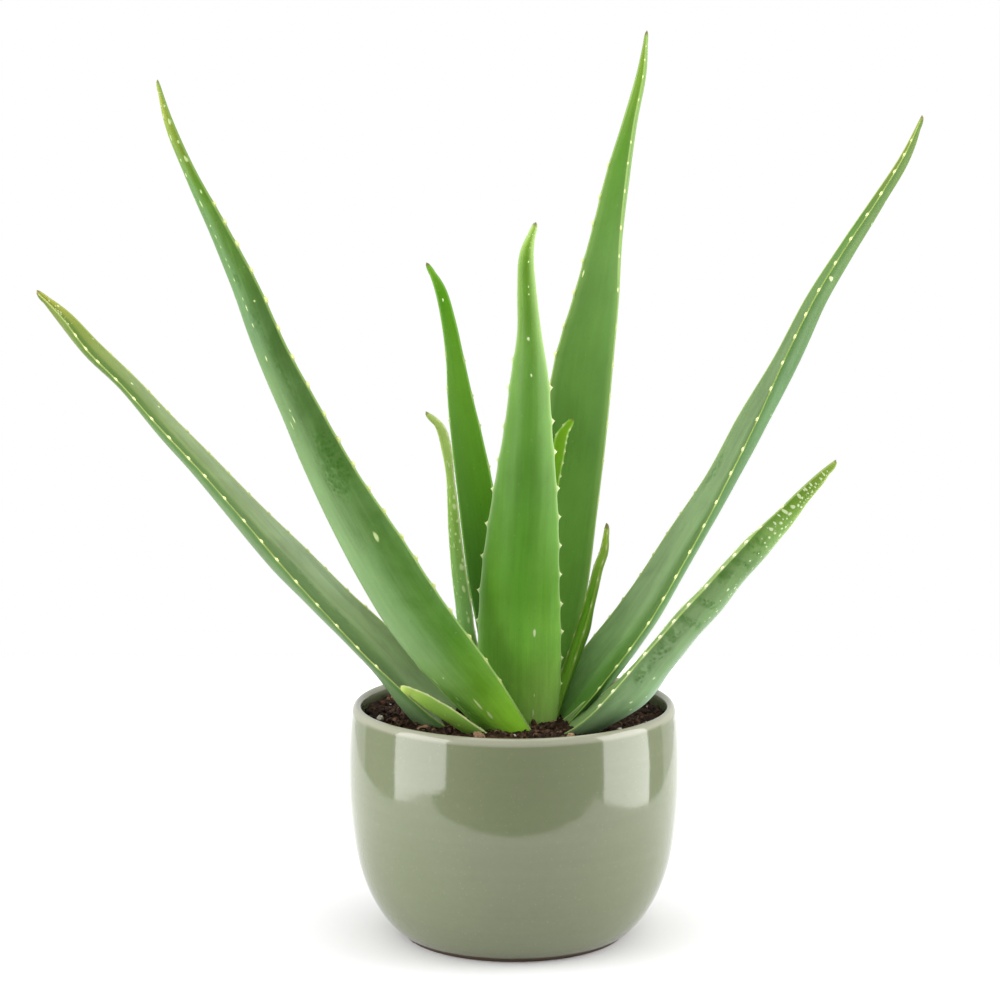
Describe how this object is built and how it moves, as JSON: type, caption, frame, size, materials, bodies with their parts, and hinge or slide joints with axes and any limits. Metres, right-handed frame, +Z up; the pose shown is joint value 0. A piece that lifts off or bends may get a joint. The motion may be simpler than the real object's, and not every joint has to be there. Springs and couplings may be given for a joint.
{
  "type": "potted aloe plant",
  "caption": "Potted aloe plant: a rosette of long tapering toothed leaves growing from soil in a round-shouldered glazed pot with a flat base.",
  "frame": {"origin": "centre of the pot's flat base, on the pot's axis, at the surface it rests on", "axes": "+Z up along the pot's axis; +X to the right and -Y towards the viewer when the broad centre leaf is in front"},
  "size_m": [0.4019, 0.158, 0.4085],
  "materials": {
    "pot_glaze": "gloss",
    "soil": "matte",
    "stem": "matte",
    "root": "matte",
    "bark": "matte",
    "pumice": "matte",
    "leaf_green": "satin",
    "leaf_deep": "satin",
    "leaf_bright": "satin",
    "leaf_spotted": "satin",
    "leaf_blue_green": "satin"
  },
  "bodies": {
    "root": {"pot": "pot_glaze", "soil": "soil", "stem": "stem", "leaf_center_small": "leaf_bright", "leaf_left_inner_small": "leaf_spotted", "leaf_right_narrow": "leaf_bright", "leaf_back_left": "leaf_deep", "leaf_back_tall": "leaf_deep", "leaf_front_center": "leaf_green", "leaf_right_tall": "leaf_blue_green", "leaf_left_tall": "leaf_green", "leaf_far_left": "leaf_blue_green", "leaf_right_lower": "leaf_blue_green", "leaf_front_left_small": "leaf_bright", "root_1": "root", "root_2": "root", "root_3": "root", "root_4": "root", "root_5": "root", "root_6": "root", "bark_chip_1": "bark", "bark_chip_2": "bark", "bark_chip_3": "bark", "bark_chip_4": "bark", "bark_chip_5": "bark", "pumice_grit_1": "pumice", "pumice_grit_2": "pumice", "pumice_grit_3": "pumice", "pumice_grit_4": "pumice"}
  },
  "joints": []
}
